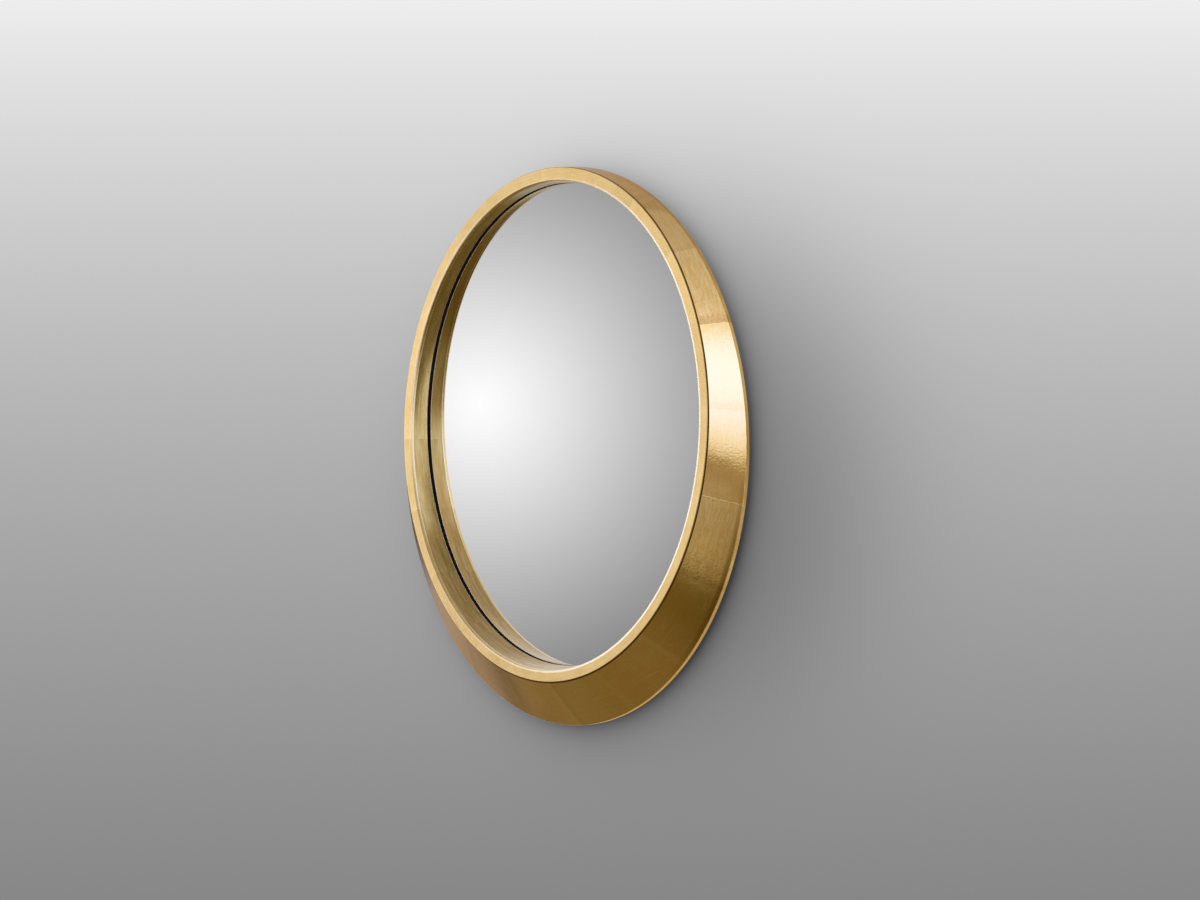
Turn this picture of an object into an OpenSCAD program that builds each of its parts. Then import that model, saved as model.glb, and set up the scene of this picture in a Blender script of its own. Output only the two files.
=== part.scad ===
// Round wall mirror in a gilded wooden frame. The rim is a true circle seated towards the top of
// a slightly wider than high outline, so the bevel around it runs from nothing to its full width
// at the foot. Millimetres, X to the right, Z up, Y towards the wall.
// The origin is halfway between the two hanging holes, in the flat back of the frame.

/* [Outline] */
// Width of the bevel at each side, where the outline is widest
bevel_side_w = 46; // [36:0.5:70]
// Width of the bevel at the foot
bevel_foot_w = 66.5; // [50:0.5:90]
// Thickness of the plywood ring that makes the upright back edge
back_ring_t = 5.5; // [4:0.5:8]
// Wood left outside the rim at the very top
top_wall = 1.5; // [1:0.1:12]

/* [Rim] */
// Outside diameter of the rim
rim_d = 765; // [700:1:775]
// Width of the flat front of the rim
rim_w = 18.5; // [14:0.5:26]
// Depth of the frame from its back to the middle of the rim's front
frame_depth = 37.6; // [34:0.1:50]
// Lean of the rim's front, which makes the foot deeper than the top
front_lean = 1.5; // [0:0.1:2]
// Height of the rim above the bevel
rim_proud = 3; // [2:0.5:5]
// How much the inner wall closes in from the rim to the glass
sight_closing = 4; // [2:0.5:8]
// Chamfer on both edges of the rim
rim_edge = 1.2; // [0.5:0.1:2]
// Glue line around the rim
glue_gap = 0.1; // [0.05:0.05:0.2]

/* [Glass] */
// Thickness of the mirror glass
glass_t = 4; // [3:1:6]
// How far the glass reaches behind the frame
glass_lap = 4.5; // [3:0.5:8]
// Gap around the edge of the glass, filled by the spacers
glass_gap = 2; // [1:0.5:3]
// Bevel ground on the edges of the glass
glass_arris = 0.5; // [0.3:0.1:1]
// Thickness of the black tape between frame and glass
tape_t = 1; // [0.5:0.5:2]
// Length of a spacer along the edge of the glass
spacer_l = 30; // [15:1:50]
// Thickness of the backing board
board_t = 2.5; // [2:0.5:4]
// Gap around the backing board
board_gap = 0.5; // [0.3:0.1:1]

/* [Turn buttons] */
// Overall length of a turn button
button_l = 40; // [32:1:46]
// Width of a turn button
button_w = 14; // [10:1:16]
// Thickness of a turn button
button_t = 1.5; // [1:0.1:1.6]
// Distance from the edge of the recess to a button's screw
button_inset = 8; // [8:0.5:9]
// Gap above and below a button
button_play = 0.3; // [0.2:0.05:0.3]
// Diameter of the screw that a button turns on
pivot_d = 3.9; // [3:0.1:4.5]
// Clearance of that screw in the button, all round
pivot_clearance = 0.05; // [0.02:0.01:0.1]
// Diameter of the pivot screw's pan head
pivot_head_d = 8; // [7:0.5:9]
// Thickness of the pan head
pivot_head_t = 1.5; // [1:0.1:1.5]
// Length of the pivot screw in the wood
pivot_grip = 12; // [8:1:16]

/* [Hanging] */
// Height of the hanging holes above the middle of the outline
hang_rise = 160; // [100:5:180]
// Height of a hanger plate
hanger_h = 50; // [46:1:54]
// Width of a hanger plate
hanger_w = 19; // [16:1:22]
// Thickness of a hanger plate
hanger_t = 2; // [1.5:0.1:2.5]
// Corner radius of a hanger plate
hanger_corner = 3; // [1:0.5:5]
// Gap around a hanger plate in its recess
hanger_gap = 0.3; // [0.1:0.1:0.5]
// Diameter of the hole that the wall screw's head enters by
entry_d = 9; // [8:0.5:10]
// Width of the slot that the plate drops down on
slot_w = 5; // [4:0.5:5.5]
// Rise of the slot above the entry hole
slot_rise = 11; // [8:1:12]
// Depth of the pocket behind the plate
pocket_depth = 6; // [5:0.5:8]
// Room for the wall screw's head beside the slot
pocket_room = 1.5; // [1:0.5:2.5]
// Height from one plate screw to the other
hanger_screw_pitch = 39; // [37:1:41]

/* [Wood screws] */
// Shank diameter of a countersunk wood screw
wood_screw_d = 3.5; // [3:0.1:4]
// Head diameter of a countersunk wood screw
wood_head_d = 7; // [6:0.5:8]
// Depth of the countersunk head
wood_head_h = 2; // [1.5:0.1:2.2]
// Length of the screws that hold the back ring
ring_screw_l = 18; // [14:1:20]
// Length of the screws that hold the hanger plates
hanger_screw_l = 14; // [10:1:16]
// Distance from the rim to the outer row of screws
outer_row = 14; // [10:1:18]
// Clearance of a screw in its hole
screw_clearance = 0.05; // [0.02:0.01:0.1]
// Depth of the cross in the screw heads
cross_depth = 0.8; // [0.5:0.1:1]
// Width of each arm of the cross
cross_w = 0.9; // [0.6:0.1:1.2]

/* [Wall bumpers] */
// Diameter of a felt wall bumper
bumper_d = 14; // [10:1:18]
// Thickness of a bumper, which is the gap to the wall
bumper_t = 4; // [3.8:0.1:5]
// Distance from a bumper's middle to the outline
bumper_inset = 14; // [10:1:18]

/* [Hidden] */

// Smoothness of whole circles, and the number of points on each edge of the bevel
$fn = 120;
bevel_points = 120;
// A cut runs this far past the face that it opens
past = 1;

// The outline follows from the rim and the bevel's widths around it
outline_w = rim_d + 2 * bevel_side_w;
outline_h = rim_d + top_wall + bevel_foot_w;
half_w = outline_w / 2;
half_h = outline_h / 2;
rim_r = rim_d / 2;
rim_rise = half_h - top_wall - rim_r;
ledge_h = tape_t + glass_t + board_t;
sight_r = rim_r - rim_w - sight_closing;
glass_r = sight_r + glass_lap;
recess_r = glass_r + glass_gap;
lean_rise = rim_r * tan(front_lean);
depth_most = frame_depth + lean_rise + past;
sight_slope = sight_closing / (frame_depth - ledge_h);
// The leaning front cuts the tapered inside in a circle that lies this much lower
sight_drop = (rim_r - rim_w) * sight_slope * tan(front_lean);
button_r = recess_r + button_inset;
pivot_hole_r = pivot_d / 2 + screw_clearance;
wood_hole_r = wood_screw_d / 2 + screw_clearance;
button_step = 45;
outer_row_step = 30;
outer_row_from = 90;
outer_row_to = 270;
bumper_angles = [-60, 60, -150, 150];
hanger_x = (recess_half(hang_rise) + outline_half(hang_rise)) / 2;

// Half width of the outline, and of the recess, at a height above the outline's middle
function outline_half(z) = half_w * sqrt(1 - pow(z / half_h, 2));
function recess_half(z) = sqrt(pow(recess_r, 2) - pow(z - rim_rise, 2));

// Distance from the rim's axis to the outline, at an angle from the top
function reach(angle) =
  let (a = pow(sin(angle) / half_w, 2) + pow(cos(angle) / half_h, 2),
    b = 2 * rim_rise * cos(angle) / pow(half_h, 2),
    c = pow(rim_rise / half_h, 2) - 1)
  (sqrt(b * b - 4 * a * c) - b) / (2 * a);

// Puts a shape whose own Z runs out of the front at a depth, with the outline's middle on its axis
module from_back(depth) {
  translate([0, -depth, -hang_rise]) rotate([90, 0, 0]) children();
}

// The same about the rim's axis
module from_rim(depth) {
  translate([0, 0, rim_rise]) from_back(depth) children();
}

// The same at an angle clockwise from the top as seen from the front, at a distance from the rim's axis
module around_rim(angle, radius, depth) {
  from_rim(depth) rotate([0, 0, -angle]) translate([0, radius, 0]) children();
}

// Turns a shape about the rim's front face so that it leans with it
module leaning(depth) {
  from_rim(depth) rotate([-front_lean, 0, 0]) children();
}

// Everything in front of a leaning plane
module front_waste(depth) {
  leaning(depth) translate([-outline_w, -outline_h, 0]) cube([2 * outline_w, 2 * outline_h, frame_depth]);
}

module outline_plate(thickness) {
  step = 360 / bevel_points;
  linear_extrude(thickness)
    polygon([for (a = [0 : step : 360 - step]) [half_w * cos(a), half_h * sin(a)]]);
}

// Countersunk wood screw, its head flush with the plane at zero and its tip towards the front
module wood_screw(length) {
  difference() {
    union() {
      cylinder(h = wood_head_h, r1 = wood_head_d / 2, r2 = wood_screw_d / 2, $fn = 32);
      cylinder(h = length - wood_screw_d, r = wood_screw_d / 2, $fn = 32);
      translate([0, 0, length - wood_screw_d])
        cylinder(h = wood_screw_d, r1 = wood_screw_d / 2, r2 = 0, $fn = 32);
    }
    cross(wood_screw_d);
  }
}

// The hole that takes such a screw
module wood_hole(length) {
  translate([0, 0, -past]) cylinder(h = length + past, r = wood_hole_r, $fn = 32);
  translate([0, 0, -past])
    cylinder(h = past, r = wood_head_d / 2 + screw_clearance, $fn = 32);
  cylinder(h = wood_head_h, r1 = wood_head_d / 2 + screw_clearance, r2 = wood_hole_r, $fn = 32);
}

// Cross recess cut into a screw head from the plane at zero
module cross(size) {
  for (turn = [0, 90])
    rotate([0, 0, turn]) translate([-size / 2, -cross_w / 2, -past])
      cube([size, cross_w, past + cross_depth]);
}

module at_rim_screws() {
  for (i = [0 : 360 / button_step - 1])
    around_rim((i + 0.5) * button_step, button_r, 0) children();
}

module at_body_screws() {
  for (angle = [outer_row_from : outer_row_step : outer_row_to])
    around_rim(angle, rim_r + outer_row, 0) children();
}

module at_pivots() {
  for (i = [0 : 360 / button_step - 1])
    around_rim(i * button_step, button_r, 0) children();
}

module at_hanger(side) {
  from_back(0) translate([side * hanger_x, hang_rise, 0]) children();
}

module at_hanger_screws(side) {
  for (end = [-1, 1])
    at_hanger(side) translate([0, end * hanger_screw_pitch / 2, 0]) children();
}

// All holes that the screws make in the wood
module screw_holes() {
  at_rim_screws() wood_hole(ring_screw_l);
  at_body_screws() wood_hole(ring_screw_l);
  at_pivots() translate([0, 0, -past]) cylinder(h = pivot_grip + past, r = pivot_hole_r, $fn = 32);
  for (side = [-1, 1])
    at_hanger_screws(side) wood_hole(hanger_screw_l);
}

// Flat plate with round corners, standing on the plane at zero
module round_plate(width, height, corner, thickness) {
  cube_w = width - 2 * corner;
  cube_h = height - 2 * corner;
  linear_extrude(thickness) union() {
    square([width, cube_h], center = true);
    square([cube_w, height], center = true);
    for (x = [-1, 1], y = [-1, 1])
      translate([x * cube_w / 2, y * cube_h / 2]) circle(r = corner, $fn = 32);
  }
}

// Keyhole outline: the entry hole and the slot above it
module keyhole() {
  circle(d = entry_d, $fn = 48);
  translate([-slot_w / 2, 0]) square([slot_w, slot_rise]);
  translate([0, slot_rise]) circle(d = slot_w, $fn = 48);
}

// The recess for a hanger plate, with the pocket for the wall screw's head behind it
module hanger_recess() {
  recess_w = hanger_w + 2 * hanger_gap;
  recess_h = hanger_h + 2 * hanger_gap;
  pocket_w = entry_d + 2 * pocket_room;
  translate([0, 0, -past])
    round_plate(recess_w, recess_h, hanger_corner + hanger_gap, hanger_t + past);
  linear_extrude(hanger_t + pocket_depth) union() {
    circle(d = pocket_w, $fn = 48);
    translate([-pocket_w / 2, 0]) square([pocket_w, slot_rise]);
    translate([0, slot_rise]) circle(d = pocket_w, $fn = 48);
  }
}

module hanger_recesses() {
  for (side = [-1, 1])
    at_hanger(side) hanger_recess();
}

// Plywood ring at the back, whose edge is the upright band next to the wall
module back_ring() {
  color("peru") difference() {
    from_back(0) outline_plate(back_ring_t);
    from_rim(-past) cylinder(h = back_ring_t + 2 * past, r = recess_r);
    screw_holes();
    hanger_recesses();
  }
}

// Bevelled wood between the rim and the outline
module bevel_body() {
  foot = 0.1;
  color("goldenrod") difference() {
    hull() {
      from_back(back_ring_t) outline_plate(foot);
      leaning(frame_depth - rim_proud)
        translate([0, 0, -foot]) cylinder(h = foot, r = rim_r, $fn = bevel_points);
    }
    from_rim(0) cylinder(h = depth_most, r = rim_r + glue_gap);
    screw_holes();
    hanger_recesses();
  }
}

// Hoop whose leaning front is the flat rim and whose tapered inside frames the glass
module plain_hoop() {
  narrow_r = sight_r - past * sight_slope;
  difference() {
    from_rim(back_ring_t) cylinder(h = depth_most, r = rim_r);
    front_waste(frame_depth);
    from_rim(ledge_h - past)
      cylinder(h = depth_most, r1 = narrow_r, r2 = narrow_r + depth_most * sight_slope);
    from_rim(0) cylinder(h = ledge_h, r = recess_r);
  }
}

// The hoop with both edges of its front chamfered
module edged_hoop() {
  outer_r = rim_r - rim_edge;
  inner_r = rim_r - rim_w + rim_edge;
  deep = 4 * rim_edge;
  difference() {
    intersection() {
      plain_hoop();
      leaning(frame_depth - depth_most)
        cylinder(h = 2 * depth_most, r1 = outer_r + depth_most, r2 = outer_r - depth_most);
    }
    leaning(frame_depth - deep) translate([0, -sight_drop, 0])
      cylinder(h = 2 * deep, r1 = inner_r - deep, r2 = inner_r + deep);
  }
}

module rim_hoop() {
  color("gold") difference() {
    edged_hoop();
    screw_holes();
    hanger_recesses();
  }
}

// Black tape that the glass is bedded on
module glazing_tape() {
  color("black") difference() {
    from_rim(glass_t + board_t) cylinder(h = tape_t, r = glass_r);
    from_rim(glass_t + board_t - past) cylinder(h = tape_t + 2 * past, r = sight_r);
  }
}

module mirror_glass() {
  face_r = glass_r - glass_arris;
  color("lightsteelblue") from_rim(board_t) union() {
    cylinder(h = glass_arris, r1 = face_r, r2 = glass_r);
    translate([0, 0, glass_arris]) cylinder(h = glass_t - 2 * glass_arris, r = glass_r);
    translate([0, 0, glass_t - glass_arris]) cylinder(h = glass_arris, r1 = glass_r, r2 = face_r);
  }
}

// Cork spacers that centre the glass in its recess
module glass_spacers() {
  spread = spacer_l / glass_r * 180 / PI;
  color("tan") for (i = [0 : 360 / button_step - 1])
    from_rim(board_t) rotate([0, 0, (i + 0.5) * button_step - spread / 2])
      rotate_extrude(angle = spread) translate([glass_r, 0]) square([glass_gap, glass_t]);
}

module backing_board() {
  color("saddlebrown") from_rim(0) cylinder(h = board_t, r = recess_r - board_gap);
}

// Steel bar with round ends that turns about the hole at one end
module turn_button(number) {
  end_r = button_w / 2;
  span = button_l - button_w;
  hole_r = pivot_d / 2 + pivot_clearance;
  color("silver") around_rim((number - 1) * button_step, button_r, 0)
    translate([0, 0, -button_play - button_t]) difference() {
      linear_extrude(button_t) union() {
        circle(r = end_r, $fn = 48);
        translate([-end_r, -span]) square([button_w, span]);
        translate([0, -span]) circle(r = end_r, $fn = 48);
      }
      translate([0, 0, -past]) cylinder(h = button_t + 2 * past, r = hole_r, $fn = 32);
    }
}

// Pan head screws that the turn buttons turn on
module turn_button_screws() {
  stand = button_t + 2 * button_play;
  color("gainsboro") at_pivots() difference() {
    union() {
      translate([0, 0, -stand]) cylinder(h = stand + pivot_grip, r = pivot_d / 2, $fn = 32);
      translate([0, 0, -stand - pivot_head_t]) cylinder(h = pivot_head_t, r = pivot_head_d / 2, $fn = 48);
    }
    translate([0, 0, -stand - pivot_head_t]) cross(pivot_d);
  }
}

// Steel plate with a keyhole, let in flush with the back
module hanger_plate(side) {
  color("silver") at_hanger(side) difference() {
    round_plate(hanger_w, hanger_h, hanger_corner, hanger_t);
    translate([0, 0, -past]) linear_extrude(hanger_t + 2 * past) keyhole();
    for (end = [-1, 1])
      translate([0, end * hanger_screw_pitch / 2, 0]) wood_hole(hanger_t + past);
  }
}

module hanger_screws() {
  color("gainsboro") for (side = [-1, 1])
    at_hanger_screws(side) wood_screw(hanger_screw_l);
}

module rim_screws() {
  color("gainsboro") at_rim_screws() wood_screw(ring_screw_l);
}

module body_screws() {
  color("gainsboro") at_body_screws() wood_screw(ring_screw_l);
}

// Felt discs that keep the frame off the wall
module wall_bumpers() {
  color("dimgray") for (angle = bumper_angles)
    around_rim(angle, reach(angle) - bumper_inset, -bumper_t)
      cylinder(h = bumper_t, r = bumper_d / 2, $fn = 48);
}

back_ring();
bevel_body();
rim_hoop();
glazing_tape();
mirror_glass();
glass_spacers();
backing_board();
turn_button(1);  // turn_button_1
turn_button(2);  // turn_button_2
turn_button(3);  // turn_button_3
turn_button(4);  // turn_button_4
turn_button(5);  // turn_button_5
turn_button(6);  // turn_button_6
turn_button(7);  // turn_button_7
turn_button(8);  // turn_button_8
turn_button_screws();
hanger_plate(-1);  // hanger_plate_left
hanger_plate(1);  // hanger_plate_right
hanger_screws();
rim_screws();
body_screws();
wall_bumpers();
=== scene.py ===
import math

import bpy
import numpy as np
from mathutils import Matrix, Vector


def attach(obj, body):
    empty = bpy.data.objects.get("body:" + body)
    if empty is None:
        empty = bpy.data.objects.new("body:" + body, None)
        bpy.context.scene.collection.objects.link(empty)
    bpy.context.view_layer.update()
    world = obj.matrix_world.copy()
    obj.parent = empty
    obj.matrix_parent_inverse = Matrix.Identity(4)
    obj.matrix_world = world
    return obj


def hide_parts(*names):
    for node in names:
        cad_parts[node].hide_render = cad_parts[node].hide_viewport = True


# Round mirror in a gilded wooden frame, on a plain wall. Metres, X to the right, Z up, Y towards the wall.
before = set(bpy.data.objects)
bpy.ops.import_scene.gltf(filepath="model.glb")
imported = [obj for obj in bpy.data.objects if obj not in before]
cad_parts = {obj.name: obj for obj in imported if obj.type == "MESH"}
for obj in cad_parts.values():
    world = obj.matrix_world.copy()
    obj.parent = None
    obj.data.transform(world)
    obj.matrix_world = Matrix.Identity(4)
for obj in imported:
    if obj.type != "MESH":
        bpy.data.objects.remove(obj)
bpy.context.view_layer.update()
print("frame loaded")

# Sizes that several pieces share, as in the part's source
shape = {
    "axisZ": -0.1275,      # height of the rim's axis
    "outlineZ": -0.160,    # height of the outline's middle
    "rimRadius": 0.3825,
    "rimWidth": 0.0185,
    "depth": 0.0376,       # from the back to the rim's front, on its axis
    "lean": math.radians(1.5),
    "proud": 0.003,        # rim above the bevel
    "halfWidth": 0.4285,
    "halfHeight": 0.4165,
    "ringThickness": 0.0055,
    "sightRadius": 0.360,
    "ledge": 0.0075,       # depth of the ledge that the glass lies behind
    "recessRadius": 0.3665,
    "glassRadius": 0.3645,
    "silver": 0.00466,     # depth at which the silvering seems to lie, seen through the glass
}


# Shader building

# A number that a node puts out. Arithmetic on it adds Math nodes.
class Wire:
    def __init__(self, socket):
        self.socket = socket

    def maths(self, operation, *values):
        tree = self.socket.id_data
        node = tree.nodes.new("ShaderNodeMath")
        node.operation = operation
        for slot, value in zip(node.inputs, values):
            put(tree, slot, value)
        return Wire(node.outputs[0])

    def __add__(self, other):
        return self.maths("ADD", self, other)

    def __radd__(self, other):
        return self.maths("ADD", other, self)

    def __sub__(self, other):
        return self.maths("SUBTRACT", self, other)

    def __rsub__(self, other):
        return self.maths("SUBTRACT", other, self)

    def __mul__(self, other):
        return self.maths("MULTIPLY", self, other)

    def __rmul__(self, other):
        return self.maths("MULTIPLY", other, self)

    def __truediv__(self, other):
        return self.maths("DIVIDE", self, other)

    def __pow__(self, other):
        return self.maths("POWER", self, other)

    def __mod__(self, other):
        return self.maths("FLOORED_MODULO", self, other)

    def __neg__(self):
        return self.maths("MULTIPLY", self, -1.0)

    def __abs__(self):
        return self.maths("ABSOLUTE", self)

    def above(self, other):
        return self.maths("GREATER_THAN", self, other)

    def most(self, other):
        return self.maths("MAXIMUM", self, other)

    def least(self, other):
        return self.maths("MINIMUM", self, other)

    def floor(self):
        return self.maths("FLOOR", self)

    def root(self):
        return self.maths("SQRT", self)

    def exp(self):
        return self.maths("EXPONENT", self)

    def sine(self):
        return self.maths("SINE", self)

    def cosine(self):
        return self.maths("COSINE", self)

    def arcSine(self):
        return self.maths("ARCSINE", self)

    def angleTo(self, other):
        return self.maths("ARCTAN2", self, other)


# Links a wire or sets a plain value
def put(tree, slot, value):
    if isinstance(value, Wire):
        tree.links.new(value.socket, slot)
    elif slot.type == "RGBA" and len(value) == 3:
        slot.default_value = (*value, 1)
    else:
        slot.default_value = value


# The nodes of one material or world
class Paint:
    def __init__(self, owner):
        owner.use_nodes = True
        self.tree = owner.node_tree
        self.tree.nodes.clear()

    # Adds a node of a type: settings first, then its sockets by name or number
    def add(self, kind, settings=None, sockets=None, out=0):
        node = self.tree.nodes.new("ShaderNode" + kind)
        settings = dict(settings or {})
        stops = settings.pop("stops", None)
        if stops:
            node.color_ramp.interpolation = settings.pop("interpolation", "LINEAR")
            while len(node.color_ramp.elements) < len(stops):
                node.color_ramp.elements.new(1.0)
            for element, (position, colour) in zip(node.color_ramp.elements, stops):
                element.position = position
                element.color = (*colour, 1)
        for key, value in settings.items():
            setattr(node, key, value)
        for key, value in (sockets or {}).items():
            put(self.tree, node.inputs[key], value)
        return Wire(node.outputs[out]) if len(node.outputs) else node

    def split(self, vector):
        first = self.add("SeparateXYZ", {}, {0: vector})
        return [Wire(socket) for socket in first.socket.node.outputs]

    def objectPlace(self):
        return self.add("TexCoord", out="Object")

    def point(self, x, y, z):
        return self.add("CombineXYZ", {}, {0: x, 1: y, 2: z})

    def scaled(self, place, factors):
        return self.add("VectorMath", {"operation": "MULTIPLY"}, {0: place, 1: factors})

    def moved(self, place, offset):
        return self.add("VectorMath", {"operation": "ADD"}, {0: place, 1: offset})

    def noise(self, place, scale, detail=2.0, roughness=0.5, distortion=0.0):
        return self.add("TexNoise", {}, {"Vector": place, "Scale": scale, "Detail": detail,
                                         "Roughness": roughness, "Distortion": distortion})

    # Noise that is drawn out along the axes whose factors are small
    def stretched(self, place, factors, *grain):
        return self.noise(self.scaled(place, factors), 1.0, *grain)

    def smooth(self, value, low, high):
        return self.add("MapRange", {"interpolation_type": "SMOOTHSTEP"}, {0: value, 1: low, 2: high})

    # One inside a span and nought outside it, given as start, full, full, end
    def within(self, value, span):
        return self.smooth(value, span[0], span[1]) * (1 - self.smooth(value, span[2], span[3]))

    def blend(self, share, first, second, how="MIX"):
        settings = {"data_type": "RGBA", "blend_type": how}
        return self.add("Mix", settings, {0: share, 6: first, 7: second}, out=2)

    def ramp(self, value, stops, interpolation="LINEAR"):
        return self.add("ValToRGB", {"stops": stops, "interpolation": interpolation}, {0: value})

    def bump(self, height, distance):
        return self.add("Bump", {}, {"Height": height, "Distance": distance})

    def finish(self, sockets):
        shader = self.add("BsdfPrincipled", {}, sockets)
        self.add("OutputMaterial", {}, {0: shader})


def newMaterial(name):
    material = bpy.data.materials.new(name)
    return material, Paint(material)


# Mesh building

# Joins a grid of points into a ring that is closed both ways. The sign of its volume, a sum of
# triple products of its faces' corners, tells whether the faces have to be turned outwards.
# Wear tells where the leaf is rubbed through, and tone how dark or pale it is, which paints shade
# below one and highlights above it: one number for a part, one for each of its columns, or one for
# each point.
def ringPiece(name, parts, material, body, replaced):
    points = np.concatenate([part[0] for part in parts], axis=1)
    turns, columns = points.shape[:2]
    index = np.arange(turns * columns).reshape(turns, columns)
    after = np.roll(index, -1, 0)
    quads = np.stack([index, after, np.roll(after, -1, 1), np.roll(index, -1, 1)], -1).reshape(-1, 4)
    flat = points.reshape(-1, 3)
    a, b, c, d = (flat[quads[:, i]] for i in range(4))
    if (np.cross(a, b) * c).sum() + (np.cross(a, c) * d).sum() < 0:
        quads = quads[:, ::-1]
    mesh = bpy.data.meshes.new(name)
    mesh.from_pydata(flat.tolist(), [], quads.tolist())
    mesh.shade_smooth()
    for number, attribute in ((1, "wear"), (2, "tone")):
        values = np.concatenate([np.broadcast_to(part[number], part[0].shape[:2]) for part in parts], axis=1)
        layer = mesh.attributes.new(attribute, "FLOAT", "POINT")
        layer.data.foreach_set("value", values.reshape(-1).astype(np.float32))
    return dress(name, mesh, material, body, replaced)


def dress(name, mesh, material, body, replaced):
    piece = bpy.data.objects.new(name, mesh)
    bpy.context.scene.collection.objects.link(piece)
    mesh.materials.append(material)
    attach(piece, body)
    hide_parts(replaced)
    print(name, "made")
    return piece


# Points round the rim's axis: x is the radius times the sine of the angle from the top, z the
# axis's height plus the radius times its cosine, and y is minus the depth
def around(angle, radius, depth):
    x = radius * np.sin(angle)
    z = shape["axisZ"] + radius * np.cos(angle)
    return np.stack(np.broadcast_arrays(x, -np.asarray(depth), z), axis=-1)


# Depth of the leaning front at an angle and radius: the axis's depth less the height above the
# axis times the tangent of the lean
def frontDepth(angle, radius, below=0.0):
    return shape["depth"] - below - radius * np.cos(angle) * math.tan(shape["lean"])


# Lines of points from one line to another, at given shares of the way
def lines(first, last, shares):
    share = np.asarray(shares)[None, :, None]
    return first[:, None] * (1 - share) + last[:, None] * share


# A rounded corner: the quadratic curve between two lines of points, drawn towards a third
def corner(first, tip, last, count):
    t = np.linspace(0, 1, count)[None, :, None]
    return first[:, None] * (1 - t) ** 2 + tip[:, None] * 2 * t * (1 - t) + last[:, None] * t ** 2


# Points at a length from one line of points in the direction of another
def towards(start, end, length):
    step = end - start
    return start + step / np.linalg.norm(step, axis=-1, keepdims=True) * np.asarray(length)[..., None]


# One at an angle round the frame, in degrees, and less to both sides of it: half of one plus the
# cosine of the angle between, to a power
def nearAngle(angle, middle, power):
    return ((1 + np.cos(angle - math.radians(middle))) / 2) ** power


# Gold leaf

# Leaves are laid side by side round the rim's axis, 20 to a turn, from a first lap at an angle
# clockwise from the top, in degrees. Each leaf has its own tone and grain; the tones follow the
# brightness round the frame, so they hold painted light and shade besides the leaf's own tone.
leaf = {
    "count": 20,
    # Pale colours of a stretch of the bevel's leaf: a painted highlight
    "pale": (0.98, 0.79, 0.52),
    "paleStart": (0.97, 0.66, 0.25),
    "paleUneven": 0.8,
    "paleBefore": 0.1,
    "clay": (0.40, 0.17, 0.035),
    # What tone below one darkens the leaf towards: painted shade
    "dark": (0.030, 0.016, 0.005),
    "dull": (0.93, 0.82, 0.57),
    # The pale strip and the pale matt glint: painted highlights
    "highlight": (1.0, 0.93, 0.82),
    "glint": (0.98, 0.76, 0.40),
    "bright": (1.0, 0.80, 0.44),
    # Tones over which the leaf gets dull and shaded, then turns to the pale strip and the matt glint, both
    # painted highlights
    "dullFull": 3.0,
    "highlightSpan": (1.0, 1.5),
    "glintSpan": (1.5, 2.0),
    # How far each leaf's own grain is moved, and noises as scale, detail, roughness and distortion
    "ownShift": (0.37, 0.71, 0.13),
    "cloudNoise": (24.0, 5.0, 0.6, 0.4),
    "swellNoise": (48.0, 2.0, 0.5),
    "raggedGrain": (4.0, 0.65),
    "blotchGrain": (0.62, 0.5),
    # The light and the deep gold follow the clouds, and the streaks for the rest
    "clouded": 0.6,
    "lightSpan": (0.34, 0.66),
    # Grain that is drawn out round the frame: its scale along the leaf and across it, how far each
    # leaf's own is moved, and its detail. A mark has the span of its noise, its share and colour.
    "streaks": {"along": 45, "across": 400, "own": 3.7, "grain": (4.0, 0.6),
                "span": (0.44, 0.60), "share": 0.50, "colour": (1.0, 0.80, 0.44)},
    "brushing": {"along": 9, "across": 900, "own": 1.3, "grain": (3.0, 0.6),
                 "span": (0.45, 0.75), "share": 0.14, "colour": (1.0, 0.84, 0.52)},
    "bands": {"along": 14, "across": 170, "own": 2.9, "grain": (4.0, 0.65),
              "span": (0.40, 0.66), "colour": (1.0, 0.74, 0.32)},
    "blotches": {"span": (0.52, 0.70), "share": 0.30, "colour": (0.52, 0.30, 0.09)},
    "creases": {"warpScale": 50.0, "warpDetail": 3.0, "warp": 0.014, "width": 0.014,
                "breaks": (31.0, 2.0), "broken": (0.53, 0.62), "share": 0.35},
    "pits": {"scale": 26.0, "size": (0.015, 0.035), "share": 0.6, "colour": (0.35, 0.20, 0.06)},
    "laps": {"width": 0.010, "breaks": (90.0, 2.0), "broken": (0.25, 0.5),
             "overlap": (0.078, 0.086), "share": 0.08,
             "uneven": 0.22, "frayedSpan": (0.86, 0.97), "frayed": (0.50, 0.30, 0.09)},
    "rubbed": {"noise": (320.0, 4.0, 0.7), "uneven": 0.7, "span": (0.62, 0.95)},
    # What the marks add to the roughness, and to the height in millimetres
    "rough": {"cloud": 0.10, "blotch": 0.06, "rub": 0.25, "highlight": 0.2},
    "height": {"brushed": 0.003, "crease": 0.02, "pit": 0.05, "lap": 0.01},
    "plainDents": 0.4,     # dents that a plain leaf has too, added to how mottled it is
    "bump": 0.001,
    "cornerWear": (0.05, 0.18),
    "rubMetal": 0.5,
    "glintMetal": 0.9,
    "coatRough": 0.15,
}


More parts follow.
